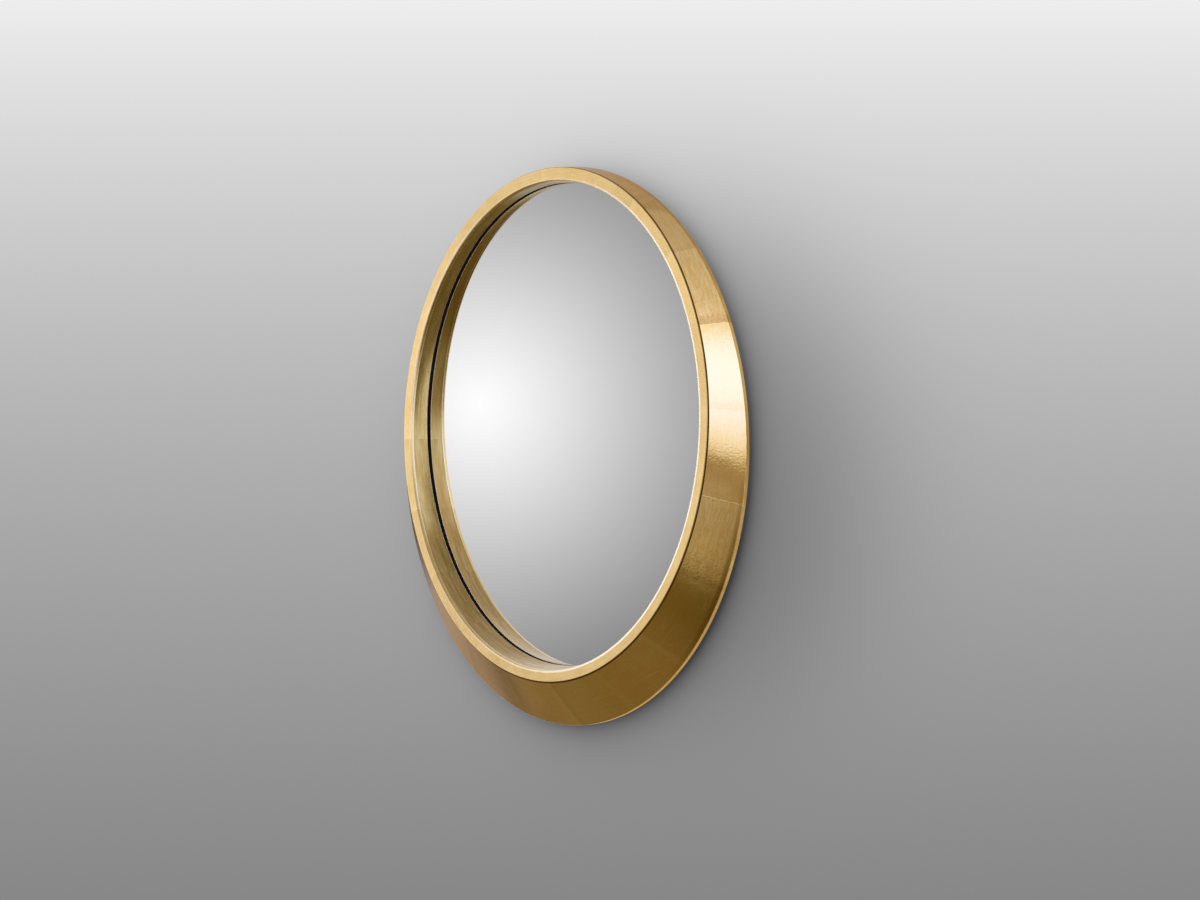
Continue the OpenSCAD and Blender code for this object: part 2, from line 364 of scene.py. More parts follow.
def goldLeaf(name, look):
    material, p = newMaterial(name)
    place = p.objectPlace()
    x, y, z = p.split(place)
    up = z - shape["axisZ"]
    radius = (x * x + up * up).root()
    turn = x.angleTo(up) / (2 * math.pi)
    ragged = p.noise(place, look["raggedScale"], *leaf["raggedGrain"]) - 0.5
    fan = (radius - shape["rimRadius"]) * (look["fan"][0] + look["fan"][1] * up / radius)
    leafAt = turn * leaf["count"] - look["firstLap"] * leaf["count"] / 360 + ragged * look["ragged"] - fan
    own = leafAt.floor() % leaf["count"]
    across = leafAt % 1.0

    # Each leaf's tone, how mottled it is, and how plain the lap at its start is
    stops = [(i / leaf["count"], values) for i, values in enumerate(look["leaves"])]
    leafTone, mottled, plain = p.split(p.ramp((own + 0.5) / leaf["count"], stops, "CONSTANT"))

    # Streaks that run round the frame, cloudy patches and blotches, all new on each leaf
    def roundFrame(mark, over):
        drawn = p.point(x * mark["along"], up * mark["along"] + own * mark["own"], over * mark["across"])
        return p.noise(drawn, 1.0, *mark["grain"])

    streaks, brushing, bands = (leaf[mark] for mark in ("streaks", "brushing", "bands"))
    streak, brushed = roundFrame(streaks, radius + y), roundFrame(brushing, radius + y)
    band = roundFrame(bands, y)
    fresh = p.moved(place, p.point(*(own * shift for shift in leaf["ownShift"])))
    cloud, swell = p.noise(fresh, *leaf["cloudNoise"]), p.noise(fresh, *leaf["swellNoise"])
    blotch = p.noise(fresh, look["blotchScale"], look["blotchDetail"], *leaf["blotchGrain"])

    # Creases: the borders of large uneven cells, broken up by a coarser noise
    c, pits = leaf["creases"], leaf["pits"]
    warp = p.add("TexNoise", {}, {"Vector": fresh, "Scale": c["warpScale"], "Detail": c["warpDetail"]},
                 out="Color")
    warped = p.moved(fresh, p.scaled(warp, (c["warp"], c["warp"], c["warp"])))
    cells = p.add("TexVoronoi", {"feature": "DISTANCE_TO_EDGE"},
                  {"Vector": warped, "Scale": look["creaseScale"]})
    crease = (1 - p.smooth(cells, 0.0, c["width"])) * p.smooth(p.noise(fresh, *c["breaks"]), *c["broken"])
    spots = p.add("TexVoronoi", {}, {"Vector": fresh, "Scale": pits["scale"]})
    pit = 1 - p.smooth(spots, *pits["size"])

    # Lap lines, with broken stretches, and the narrow strip where two leaves overlap
    laps = leaf["laps"]
    lap = 1 - p.smooth(across, 0.0, laps["width"])
    lap = lap * p.smooth(p.noise(place, *laps["breaks"]), *laps["broken"]) * plain
    overlap = 1 - p.smooth(across, *laps["overlap"])
    frayed = p.smooth(across + (blotch - 0.5) * laps["uneven"], *laps["frayedSpan"]) * mottled

    worn = p.add("Attribute", {"attribute_name": "wear"}, {}, out="Fac")
    tone = p.add("Attribute", {"attribute_name": "tone"}, {}, out="Fac")
    rubbed = leaf["rubbed"]
    rub = p.smooth(worn + (p.noise(place, *rubbed["noise"]) - 0.5) * rubbed["uneven"], *rubbed["span"])

    golden = cloud * leaf["clouded"] + streak * (1 - leaf["clouded"])
    gold = p.blend(p.smooth(golden, *leaf["lightSpan"]), look["deep"], look["light"])
    if "pale" in look:
        # A pale stretch, which starts golden at a lap and ends slowly: a painted highlight
        start, full, fade, end = look["pale"]
        count = leafAt % leaf["count"]
        reached = p.smooth(count + (blotch - 0.5) * leaf["paleUneven"], start - leaf["paleBefore"], full)
        pale = p.blend(reached, leaf["paleStart"], leaf["pale"])
        gold = p.blend(count.above(start) * (1 - p.smooth(count, fade, end)), gold, pale)
    gold = p.blend(1.0, gold, p.point(leafTone, leafTone, leafTone), "MULTIPLY")
    b = leaf["blotches"]
    gold = p.blend(p.smooth(blotch, *b["span"]) * mottled * b["share"], gold, b["colour"])
    gold = p.blend(p.smooth(streak, *streaks["span"]) * mottled * streaks["share"], gold, streaks["colour"])
    gold = p.blend(p.smooth(brushed, *brushing["span"]) * brushing["share"], gold, brushing["colour"])
    gold = p.blend(frayed * look["frayed"], gold, laps["frayed"])
    gold = p.blend(overlap * laps["share"], gold, leaf["bright"])
    gold = p.blend(crease * c["share"], gold, leaf["bright"])
    gold = p.blend(pit * pits["share"], gold, pits["colour"])
    gold = p.blend(lap * look["lapShare"], gold, look["lapColour"])
    gold = p.blend(rub * look["rub"], gold, leaf["clay"])

    # Tone below one darkens and dulls the leaf: duller leaf and painted shade on the inner wall, painted
    # shade in the dark line beside the rim and towards the arris. Tone above one paints highlights: the
    # pale strip, then pale matt glints, which look pale from every side
    dull = (1 - tone).most(0.0)
    highlight, glint = p.smooth(tone, *leaf["highlightSpan"]), p.smooth(tone, *leaf["glintSpan"])
    gold = p.blend((dull * leaf["dullFull"]).least(1.0), gold, leaf["dull"], "MULTIPLY")
    gold = p.blend(p.smooth(band, *bands["span"]) * dull * look["wallBands"], gold, bands["colour"])
    gold = p.blend(highlight, gold, leaf["highlight"])
    gold = p.blend(glint, gold, leaf["glint"])
    gold = p.blend(tone.least(1.0), leaf["dark"], gold)

    r, h = leaf["rough"], leaf["height"]
    rough = look["rough"] + (cloud - 0.5) * r["cloud"] + (blotch - 0.5) * r["blotch"]
    rough = rough + rub * r["rub"] + dull * look["wallRough"] + highlight * r["highlight"]
    hollow = 1 + dull * look["hollow"]
    height = (swell * look["swell"] + blotch * hollow * look["dents"] * (mottled + leaf["plainDents"])
              + streak * hollow * look["streaks"] + band * dull * look["wallWaves"]
              + brushed * h["brushed"] + crease * h["crease"] - pit * h["pit"] + lap * h["lap"])
    # Corners are too narrow to show the leaf's grain, so their normals stay as they are
    grained, plainNormal = p.bump(height, leaf["bump"]), p.add("NewGeometry", out="Normal")
    atCorner = p.smooth(worn, *leaf["cornerWear"])
    normal = p.add("Mix", {"data_type": "VECTOR"}, {0: atCorner, 4: grained, 5: plainNormal}, out=1)
    metal = (1 - rub * leaf["rubMetal"]) * (1 - glint * leaf["glintMetal"])
    p.finish({"Base Color": gold, "Metallic": metal, "Roughness": rough, "Normal": normal,
              "Coat Weight": look["coat"], "Coat Roughness": leaf["coatRough"]})
    return material


# Bevelled body

bevelBody = {
    "turns": 720,
    "seatGap": 0.0001,
    "seatEdge": 0.0003,
    # Width of the dark line beside the rim, painted shade in the crevice, and how much broader it is at
    # the lower left, where it paints the shadow under the rim
    "shadeLine": 0.0004,
    "underRimShadow": 0.0056,
    "broadAt": 213.0,
    "broadFall": 9.0,
    "arris": 0.0007,
    "lipEdge": 0.0004,
    "skin": 0.0003,        # leaf and clay over the plywood's edge
    "backGap": 0.00003,
    # The leaf is painted darker towards the arris at the lower right, and most just inside it: this
    # painted shade rises in two steps across the bevel, each a share, a start and a length
    "shade": 0.6,
    "shadeAt": 119.0,
    "shadeFall": 45.0,
    "shadeRises": [(0.35, 0.30, 0.60), (0.65, 0.88, 0.06)],
    # Tones of the seat corner and of the dark line: painted shade
    "seatShade": 0.05,
    "shadeLineTones": (0.25, 0.6),
    "reach": 0.5,          # how far from its seat's angle a ruling may end, in radians
    "halvings": 40,
    # Points over its corners, and lines of points as shares of the way over its other parts
    "cornerPoints": 5,
    "arrisPoints": 7,
    "shadeLineShares": (0.4, 0.8),
    "bevelShares": (0.0, 0.012, 0.05, *np.linspace(0.12, 0.88, 14), 0.92, 0.96, 0.99),
    "lipShares": (0.06, 0.5, 0.94),
    "seatShares": (0.0, 0.5, 0.96),
}

# How the leaf looks on a piece. A leaf has its tone, how mottled it is, and how plain the lap at its
# start is; the tones also hold painted light and shade round the frame. Fan is how far the laps lean,
# and how much further towards the top. The pale stretch, a painted highlight, has the leaves at which
# it starts, is full, fades and ends. Wall values and hollow, which deepens dents and streaks, are for
# the duller, painted-shaded leaf of the inner wall.
bevelLook = {
    "light": (0.95, 0.63, 0.26), "deep": (0.91, 0.57, 0.20), "blotchScale": 270.0, "blotchDetail": 2.0,
    "wallBands": 0.0, "wallWaves": 0.0, "pale": (3.0, 3.32, 3.55, 4.68),
    "firstLap": 15.0, "fan": (0.82, 3.5), "raggedScale": 170.0, "ragged": 0.03, "creaseScale": 19.0,
    "leaves": [(0.95, 0.3, 0.3), (0.88, 0.3, 0.3), (0.89, 0.8, 0.3), (1.0, 0.2, 1.0), (0.97, 0.2, 0.5),
               (0.93, 0.8, 1.0), (0.80, 0.05, 1.0), (0.84, 0.05, 0.1), (0.84, 0.1, 0.2), (0.93, 0.2, 0.1),
               (0.90, 0.4, 0.2), (0.90, 0.5, 0.2), (0.72, 0.4, 0.3), (0.64, 0.3, 0.5), (0.94, 0.3, 0.3),
               (0.92, 0.4, 0.5), (0.94, 0.3, 0.3), (0.90, 0.3, 0.5), (0.92, 0.4, 0.3), (0.91, 0.3, 0.3)],
    "lapColour": leaf["bright"], "lapShare": 0.8, "frayed": 0.6, "wallRough": 0.15, "hollow": 0.0,
    "rough": 0.11, "swell": 0.07, "dents": 0.12, "streaks": 0.030, "coat": 0.08, "rub": 0.6,
}


# The bevel is ruled: each line joins a point of the rim's seat to the point of the outline whose
# tangent lies in one plane with the seat's, found by halving an interval of its angle
def bevelRulings(angle):
    seat = around(angle, shape["rimRadius"] + bevelBody["seatGap"],
                  frontDepth(angle, shape["rimRadius"], shape["proud"]))
    alongSeat = np.stack([np.cos(angle), -np.sin(angle) * math.tan(shape["lean"]), -np.sin(angle)], -1)

    def outline(t):
        x = shape["halfWidth"] * np.sin(t)
        z = shape["outlineZ"] + shape["halfHeight"] * np.cos(t)
        return np.stack([x, np.full_like(t, -shape["ringThickness"]), z], -1)

    def twist(t):
        alongOutline = np.stack([shape["halfWidth"] * np.cos(t), 0 * t, -shape["halfHeight"] * np.sin(t)], -1)
        return (np.cross(alongSeat, alongOutline) * (outline(t) - seat)).sum(-1)

    low, high = angle - bevelBody["reach"], angle + bevelBody["reach"]
    rising = np.sign(twist(high))
    for _ in range(bevelBody["halvings"]):
        middle = (low + high) / 2
        over = twist(middle) * rising > 0
        high = np.where(over, middle, high)
        low = np.where(over, low, middle)
    outward = np.stack([np.sin(low) / shape["halfWidth"], 0 * low, np.cos(low) / shape["halfHeight"]], -1)
    return seat, outline(low), outward / np.linalg.norm(outward, axis=-1, keepdims=True)


def makeBevelBody():
    s = bevelBody
    angle = np.linspace(0, 2 * math.pi, s["turns"], endpoint=False)
    seat, edge, outward = bevelRulings(angle)
    back = np.array([0.0, 1.0, 0.0])
    lipBack = edge + back * (shape["ringThickness"] - s["backGap"])
    seatBack = seat * [1, 0, 1] + back * -shape["ringThickness"]
    downSeat, fromSeat = seat + back * s["seatEdge"], towards(seat, edge, s["seatEdge"])
    # The dark line beside the rim is painted shade, broadened at the lower left into a painted shadow
    shadeLine = s["shadeLine"] + s["underRimShadow"] * nearAngle(angle, s["broadAt"], s["broadFall"])
    pastShadeLine, toEdge = towards(seat, edge, s["seatEdge"] + shadeLine), towards(edge, seat, s["arris"])
    downEdge, upBack = edge + back * s["arris"], lipBack - back * s["lipEdge"]
    skin = outward * s["skin"]
    shares = np.array(s["bevelShares"])
    # Painted shade towards the arris at the lower right
    risen = sum(part * np.clip((shares - start) / length, 0, 1) for part, start, length in s["shadeRises"])
    shade = s["shade"] * nearAngle(angle, s["shadeAt"], s["shadeFall"])[:, None] * risen
    # Each part has its points, its wear and its tone
    parts = [
        (corner(downSeat, seat, fromSeat, s["cornerPoints"]), 0.2, s["seatShade"]),
        (lines(fromSeat, pastShadeLine, s["shadeLineShares"]), 0.2, np.array(s["shadeLineTones"])),
        (lines(pastShadeLine, toEdge, shares), 0.0, 1 - shade),
        (corner(toEdge, edge, downEdge, s["arrisPoints"]), 0.4, 1.0),
        (lines(downEdge, upBack, s["lipShares"]), 0.15, 1.0),
        (corner(upBack, lipBack, lipBack - skin, s["cornerPoints"]), 1.0, 1.0),
        (lines(lipBack - skin, edge - skin, [1.0]), 0.0, 1.0),
        (lines(seatBack, downSeat, s["seatShares"]), 0.0, s["seatShade"]),
    ]
    gilding = goldLeaf("bevel gold leaf", bevelLook)
    ringPiece("gilded_bevel_body", parts, gilding, "frame", "bevel_body")


# Rim hoop

rimHoop = {
    "turns": 720,
    "outerEdge": 0.0012,
    "innerEdge": 0.0010,
    "front": 0.00004,      # how far the front lies behind the part's own
    # The leaf of the front is folded over the inner corner. A pale strip paints a highlight on the front
    # beside the corner at the right, where the front falls a little, and along the fold's end at the left.
    # Each "At" is an angle from the top in degrees, and each "Fall" how quickly it fades from there.
    "fold": 0.0048,
    "foldEnd": 0.0014,
    "highlightEdge": 0.0034,
    "highlightDrop": 0.00015,
    "highlightAt": 108.0,
    "highlightFall": 1.5,
    "foldHighlightAt": 263.0,
    "foldHighlightFall": 18.0,
    # Tones over the inner corner, from the front to the inner wall: its own, and at the upper left,
    # where they paint a glint
    "cornerTones": (1.0, 0.88, 0.7, 0.7, 0.85, 1.0, 1.0, 1.0, 1.0, 1.0),
    "paleTones": (1.2, 1.5, 2.0, 2.0, 2.0, 0.9, 0.6, 0.5, 0.55, 0.65),
    "paleAt": 306.0,
    "paleFall": 14.0,
    "paleFront": 0.2,
    "highlightTone": 1.5,     # tone of the painted highlight strip
    "foldTone": 0.8,
    "foldHighlight": 0.7,
    # The ledge is painted pale matt: a painted glint
    "ledgeGlintTone": 1.9,
    "ledgeEdge": 0.0009,
    # The dark line on the outer wall beside the bevel is painted shade in the crevice
    "shadeLineTone": 0.06,
    "topShadeLine": 0.30,       # how much paler the dark line is at the top right
    "topShadeLineAt": 25.0,
    "topShadeLineFall": 6.0,
    "shadeLineTop": 0.0013,     # how far below the front the dark line beside the bevel starts
    # The leaf on the inner wall is duller and painted darker, painted shade in the recess, but near the
    # top a stretch is painted pale, a painted highlight
    "wallTone": 0.55,
    "topGlintTone": 1.05,
    "topGlintAt": 351.0,
    "topGlintFall": 90.0,
    "wallHollow": 0.0005,  # how far the middle of the inner wall lies outside a straight taper
    # Points over its outer corner, their tones, which rise from the painted shade of the dark line, and
    # lines of points over its other parts
    "outerPoints": 8,
    "outerTones": (0.2, 1.0),
    "sideShares": (0.0, 0.5, 0.85, 1.0),
    "frontShares": (0.015, 0.06, *np.linspace(0.15, 0.85, 8), 0.94, 0.985),
    "highlightShares": (0.05, 0.2, 0.5, 0.8, 0.97),
    "foldShares": (0.2, 0.5, 0.8),
    "wallShares": (0.0, 0.03, 0.06, *np.linspace(0.1, 0.9, 17), 0.95, 0.99, 1.0),
    "ledgeShares": (0.0, 0.1, 0.5, 0.9, 1.0),
}
rimLook = {
    "firstLap": 14.4, "fan": (0.0, 0.0), "raggedScale": 200.0, "ragged": 0.015, "creaseScale": 23.0,
    "light": (0.98, 0.69, 0.30), "deep": (0.94, 0.63, 0.235), "blotchScale": 230.0, "blotchDetail": 4.0,
    "wallBands": 1.3, "wallWaves": 0.35,
    "leaves": [(0.75, 0.2, 0.3), (0.82, 0.2, 0.2), (0.91, 0.2, 0.5), (0.89, 0.2, 0.9), (0.90, 0.2, 0.3),
               (0.89, 0.2, 0.2), (0.86, 0.2, 0.5), (0.79, 0.2, 0.9), (0.77, 0.2, 0.3), (0.75, 0.2, 0.2),
               (0.73, 0.2, 0.5), (0.70, 0.2, 0.9), (0.75, 0.2, 0.3), (0.80, 0.2, 0.2), (0.88, 0.2, 0.5),
               (0.88, 0.2, 0.9), (0.80, 0.2, 0.3), (0.72, 0.2, 0.2), (0.75, 0.2, 0.5), (0.76, 0.2, 0.9)],
    "lapColour": (0.42, 0.24, 0.07), "lapShare": 0.55, "frayed": 0.15, "wallRough": -0.12, "hollow": 22.0,
    "rough": 0.30, "swell": 0.05, "dents": 0.010, "streaks": 0.006, "coat": 0.12, "rub": 0.5,
}


# The hoop's section goes up its outer wall, over the flat front and down the tapered inner wall
# to the ledge. The inner wall's cone meets the leaning front where its radius is the one on the
# axis over one plus the taper times the height's share of the lean.
def makeRimHoop():
    s = rimHoop
    angle = np.linspace(0, 2 * math.pi, s["turns"], endpoint=False)
    back = np.array([0.0, 1.0, 0.0])
    outer = shape["rimRadius"]
    onAxis = outer - shape["rimWidth"]
    taper = (onAxis - shape["sightRadius"]) / (shape["depth"] - shape["ledge"])
    inner = onAxis / (1 + taper * np.cos(angle) * math.tan(shape["lean"]))
    outerTip = around(angle, outer, frontDepth(angle, outer, s["front"]))
    # Where the pale strip paints a highlight beside the inner corner, and the front dips a little
    highlight = nearAngle(angle, s["highlightAt"], s["highlightFall"])
    innerTip = around(angle, inner, frontDepth(angle, inner, s["front"] + s["highlightDrop"] * highlight))
    ledgeTip = around(angle, shape["sightRadius"], shape["ledge"])
    ledgeEnd = around(angle, shape["recessRadius"], shape["ledge"])
    recessBack = around(angle, shape["recessRadius"], shape["ringThickness"])
    outerBack = around(angle, outer, shape["ringThickness"])
    downOuter, shadeLineTop = outerTip + back * s["outerEdge"], outerTip + back * s["shadeLineTop"]
    atFoldHighlight = nearAngle(angle, s["foldHighlightAt"], s["foldHighlightFall"])[:, None]
    overOuter = towards(outerTip, innerTip, s["outerEdge"])
    highlightFrom = around(angle, inner + s["highlightEdge"],
                        frontDepth(angle, inner + s["highlightEdge"], s["front"]))
    overInner = towards(innerTip, highlightFrom, s["innerEdge"])
    highlight = highlight[:, None]
    downInner, foldEnd = (towards(innerTip, ledgeTip, s["fold"] + more) for more in (0.0, s["foldEnd"]))
    upLedge = towards(ledgeTip, innerTip, s["ledgeEdge"])
    # Where the glint is painted on the inner corner at the upper left
    atCornerGlint = nearAngle(angle, s["paleAt"], s["paleFall"])[:, None]
    cornerTone = highlight * s["highlightTone"] + (1 - highlight) * np.array(s["cornerTones"])
    cornerTone += atCornerGlint * (np.array(s["paleTones"]) - cornerTone)
    frontTone = 1 + highlight * (s["highlightTone"] - 1) + atCornerGlint * s["paleFront"]
    foldTone = s["foldTone"] + s["foldHighlight"] * atFoldHighlight
    # Painted shade on the outer wall, a little paler at the top right
    shadeLineTone = s["shadeLineTone"] + s["topShadeLine"] * nearAngle(angle, s["topShadeLineAt"], s["topShadeLineFall"])[:, None]
    # Painted shade on the inner wall, and a painted highlight near its top
    wallTone = s["wallTone"] + s["topGlintTone"] * nearAngle(angle, s["topGlintAt"], s["topGlintFall"])[:, None]
    onLedge = towards(ledgeTip, ledgeEnd, s["ledgeEdge"])
    shares = np.array(s["wallShares"])
    outwards = around(angle, 1.0, 0.0) - around(angle, 0.0, 0.0)
    innerWall = lines(foldEnd, upLedge, shares)
    innerWall += outwards[:, None] * (4 * s["wallHollow"] * shares * (1 - shares))[None, :, None]
    outerTones = np.linspace(*s["outerTones"], s["outerPoints"])
    parts = [
        (lines(outerBack, shadeLineTop, s["sideShares"]), 0.1, shadeLineTone),
        (corner(downOuter, outerTip, overOuter, s["outerPoints"]), 0.3, outerTones),
        (lines(overOuter, highlightFrom, s["frontShares"]), 0.0, 1.0),
        (lines(highlightFrom, overInner, s["highlightShares"]), 0.0, frontTone),
        (corner(overInner, innerTip, downInner, len(s["cornerTones"])), 0.2, cornerTone),
        (lines(downInner, foldEnd, s["foldShares"]), 0.0, foldTone),
        (innerWall[:, :-1], 0.0, wallTone),
        (lines(upLedge, onLedge, s["ledgeShares"]), 0.2, s["ledgeGlintTone"]),
        (lines(onLedge, ledgeEnd, [1.0]), 0.0, s["wallTone"]),
        (lines(recessBack, outerBack, [0.0]), 0.0, 1.0),
    ]
    ringPiece("gilded_rim_hoop", parts, goldLeaf("rim gold leaf", rimLook), "frame", "rim_hoop")


# Glass and tape

glass = {
    "turns": 360, "arris": 0.0005, "back": 0.0025, "middle": 0.03, "rings": 12, "backRing": 0.18,
    "silver": (0.950, 0.951, 0.950), "edge": (0.62, 0.71, 0.66), "edgeWidth": 0.005, "edgeShare": 0.5,
    "haze": (9.0, 3.0), "hazeRough": 0.004, "dust": (2500.0, 1.0), "dustSpan": (0.74, 0.80),
    "dustRough": 0.01,
}
tape = {
    "turns": 360, "inner": 0.36005, "outer": 0.3645, "front": 0.00745,
    "pores": 2200.0, "skin": (0.004, 0.004, 0.004), "pore": (0.012, 0.011, 0.011),
    "rough": 0.75, "poreRough": 0.15, "specular": 0.04, "bump": 0.0002,
}


# Silvered glass: the reflecting face lies where the silvering seems to lie behind the glass's
# surface, with dust and a faint green tint near its edge
def silveredGlass():
    s = glass
    material, p = newMaterial("silvered glass")
    place = p.objectPlace()
    x, _, z = p.split(place)
    up = z - shape["axisZ"]
    rim = p.smooth((x * x + up * up).root(), shape["glassRadius"] - s["edgeWidth"], shape["glassRadius"])
    haze = p.noise(place, *s["haze"])
    dust = p.smooth(p.noise(place, *s["dust"]), *s["dustSpan"])
    colour = p.blend(rim * s["edgeShare"], s["silver"], s["edge"])
    rough = haze * s["hazeRough"] + dust * s["dustRough"]
    p.finish({"Base Color": colour, "Metallic": 1.0, "Roughness": rough})
    return material


# A disc: rings of points from near the middle of its face, over its edge, to near the middle of
# its back, with a point in the middle of each
def makeGlass():
    s = glass
    angle = np.linspace(0, 2 * math.pi, s["turns"], endpoint=False)
    front, far, edge = shape["silver"], s["back"], shape["glassRadius"]
    section = [(r, front) for r in np.linspace(s["middle"], edge - s["arris"], s["rings"])]
    section += [(edge, front - s["arris"]), (edge, far + s["arris"]), (edge - s["arris"], far)]
    section += [(s["backRing"], far), (s["middle"], far)]
    radius, depth = np.array(section).T
    flat = around(angle[:, None], radius[None, :], depth[None, :]).reshape(-1, 3)
    index = np.arange(len(flat)).reshape(s["turns"], len(section))
    after = np.roll(index, -1, 0)
    quads = np.stack([index[:, :-1], index[:, 1:], after[:, 1:], after[:, :-1]], -1).reshape(-1, 4)
    middles = np.array([[0, -front, shape["axisZ"]], [0, -far, shape["axisZ"]]])
    frontFan = np.stack([np.full(s["turns"], len(flat)), index[:, 0], after[:, 0]], -1)
    backFan = np.stack([np.full(s["turns"], len(flat) + 1), after[:, -1], index[:, -1]], -1)
    mesh = bpy.data.meshes.new("silvered_glass")
    faces = quads.tolist() + frontFan.tolist() + backFan.tolist()
    mesh.from_pydata(np.concatenate([flat, middles]).tolist(), [], faces)
    mesh.update()
    if mesh.polygons[len(quads)].normal.y > 0:
        mesh.flip_normals()
    dress("silvered_glass", mesh, silveredGlass(), "frame", "mirror_glass")


# Foam tape: fine pores under a dull skin, near-black, so that it also paints the shade in the gap
# between the ledge and the glass
def foamTape():
    s = tape
    material, p = newMaterial("black foam tape")
    pores = p.add("TexVoronoi", {}, {"Vector": p.objectPlace(), "Scale": s["pores"]})
    colour = p.blend(pores, s["skin"], s["pore"])
    p.finish({"Base Color": colour, "Roughness": s["rough"] + pores * s["poreRough"],
              "Specular IOR Level": s["specular"], "Normal": p.bump(pores, s["bump"])})
    return material


def makeTape():
    s = tape
    angle = np.linspace(0, 2 * math.pi, s["turns"], endpoint=False)
    section = [(s["inner"], s["front"]), (s["outer"], s["front"]),
               (s["outer"], shape["silver"]), (s["inner"], shape["silver"])]
    points = np.stack([around(angle, radius, depth) for radius, depth in section], axis=1)
    piece = ringPiece("black_glazing_tape", [(points, 0.0, 1.0)], foamTape(), "frame", "glazing_tape")
    piece.data.shade_flat()


# Finishes of the nodes that keep their shape

# Birch plywood: flowing growth lines on the faces, cross layers on the edges
birch = {
    "lines": ((9.0, 9.0, 1.6), 2.0, 0.45, 0.3), "lineCount": 90, "lineShare": 0.55,
    "fibres": ((900.0, 900.0, 22.0), 4.0, 0.65), "fibreShare": 0.35,
    "pores": ((1500.0, 1500.0, 90.0), 2.0), "poreSpan": (0.64, 0.72), "poreShare": 0.5,
    "stains": (6.0, 3.0), "stainSpan": (0.5, 0.75), "stainShare": 0.25,
    "pale": (0.66, 0.47, 0.27), "line": (0.50, 0.32, 0.155), "fibre": (0.78, 0.60, 0.38),
    "pore": (0.25, 0.14, 0.06), "stain": (0.46, 0.30, 0.17),
    # On the edges: the plies, the dark glue between them, and their fibres
    "ply": 0.0011, "crossPly": (0.42, 0.27, 0.14), "longPly": (0.62, 0.45, 0.26),
    "glueSpan": (0.42, 0.5), "glueShare": 0.8, "glue": (0.12, 0.06, 0.025),
    "endShare": 0.3, "end": (0.25, 0.15, 0.07), "facing": (0.5, 0.7),
    "rough": 0.62, "fibreRough": 0.2, "lineRough": 0.06,
    "fibreBump": 0.5, "lineBump": 0.25, "bump": 0.00012,
}


def plywood():
    s = birch
    material, p = newMaterial("birch plywood")
    place = p.objectPlace()
    y = p.split(place)[1]
    line = (p.stretched(place, *s["lines"]) * s["lineCount"]).sine() * 0.5 + 0.5
    fibre = p.stretched(place, *s["fibres"])
    pore = p.smooth(p.stretched(place, *s["pores"]), *s["poreSpan"])
    stain = p.smooth(p.noise(place, *s["stains"]), *s["stainSpan"])
    face = p.blend(line * line * s["lineShare"], s["pale"], s["line"])
    face = p.blend(fibre * s["fibreShare"], face, s["fibre"])
    face = p.blend(pore * s["poreShare"], face, s["pore"])
    face = p.blend(stain * s["stainShare"], face, s["stain"])
    glue = p.smooth(abs((y / s["ply"]) % 1.0 - 0.5), *s["glueSpan"])
    ends = p.blend(((y / (2 * s["ply"])) % 1.0).above(0.5), s["crossPly"], s["longPly"])
    ends = p.blend(glue * s["glueShare"], ends, s["glue"])
    ends = p.blend(fibre * s["endShare"], ends, s["end"])
    facing = p.split(p.add("NewGeometry", out="Normal"))[1]
    colour = p.blend(p.smooth(abs(facing), *s["facing"]), ends, face)
    rough = s["rough"] + fibre * s["fibreRough"] - line * s["lineRough"]
    height = fibre * s["fibreBump"] + line * s["lineBump"] - pore
    p.finish({"Base Color": colour, "Roughness": rough, "Normal": p.bump(height, s["bump"])})
    return material


# Tempered hardboard: matted fibres under a slightly greasy skin, with a few scuffs
board = {
    "mat": (420.0, 6.0, 0.7, 1.2), "deep": (0.105, 0.050, 0.022), "light": (0.235, 0.125, 0.060),
    "clouds": (5.0, 4.0, 0.6), "cloudSpan": (0.35, 0.7), "cloudShare": 0.4, "cloud": (0.16, 0.075, 0.032),
    "flecks": ((260.0, 260.0, 700.0), 3.0, 0.6, 1.5), "fleckSpan": (0.60, 0.70), "fleckShare": 0.45,
    "fleck": (0.36, 0.22, 0.12),
    "scuffs": ((4.0, 4.0, 160.0), 3.0), "scuffTurn": 0.6, "scuffSpan": (0.68, 0.76), "worn": (0.5, 0.7),
    "scuffShare": 0.5, "scuff": (0.42, 0.30, 0.20),
    "rough": 0.42, "matRough": 0.2, "scuffRough": 0.2, "matBump": 0.6, "fleckBump": 0.4, "bump": 0.00012,
}


def hardboard():
    s = board
    material, p = newMaterial("tempered hardboard")
    place = p.objectPlace()
    mat, cloud = p.noise(place, *s["mat"]), p.noise(place, *s["clouds"])
    fleck = p.smooth(p.stretched(place, *s["flecks"]), *s["fleckSpan"])
    turned = p.add("VectorRotate", {"rotation_type": "Y_AXIS"}, {"Vector": place, "Angle": s["scuffTurn"]})
    scuff = p.smooth(p.stretched(turned, *s["scuffs"]), *s["scuffSpan"]) * p.smooth(cloud, *s["worn"])
    colour = p.blend(mat, s["deep"], s["light"])
    colour = p.blend(p.smooth(cloud, *s["cloudSpan"]) * s["cloudShare"], colour, s["cloud"])
    colour = p.blend(fleck * s["fleckShare"], colour, s["fleck"])
    colour = p.blend(scuff * s["scuffShare"], colour, s["scuff"])
    rough = s["rough"] + mat * s["matRough"] + scuff * s["scuffRough"]
    height = mat * s["matBump"] + fleck * s["fleckBump"]
    p.finish({"Base Color": colour, "Roughness": rough, "Normal": p.bump(height, s["bump"])})
    return material


